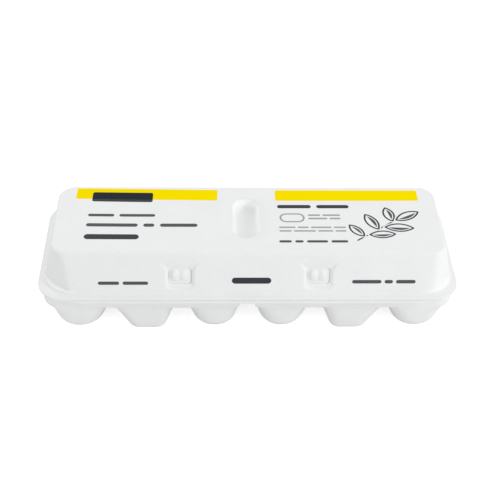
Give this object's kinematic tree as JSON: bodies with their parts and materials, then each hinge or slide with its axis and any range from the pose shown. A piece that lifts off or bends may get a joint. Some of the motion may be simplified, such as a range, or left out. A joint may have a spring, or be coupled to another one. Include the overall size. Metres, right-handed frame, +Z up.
{
  "type": "foam egg carton",
  "caption": "Shut foam egg carton: a lid with leaning walls, a long dimple and two latch windows, over a tray of round and flat-footed cups.",
  "frame": {"origin": "on the floor, under the middle of the carton", "axes": "+X along the carton, to the right as seen from its front; -Y is the front, where the lid latches; +Z up"},
  "size_m": [0.3028, 0.1068, 0.0715],
  "materials": {
    "white_foam": "satin white foam sheet with fine beads, formed in a mould"
  },
  "bodies": {
    "root": {"lid": "white_foam", "tray": "white_foam", "hinge_fold": "white_foam"}
  },
  "joints": []
}
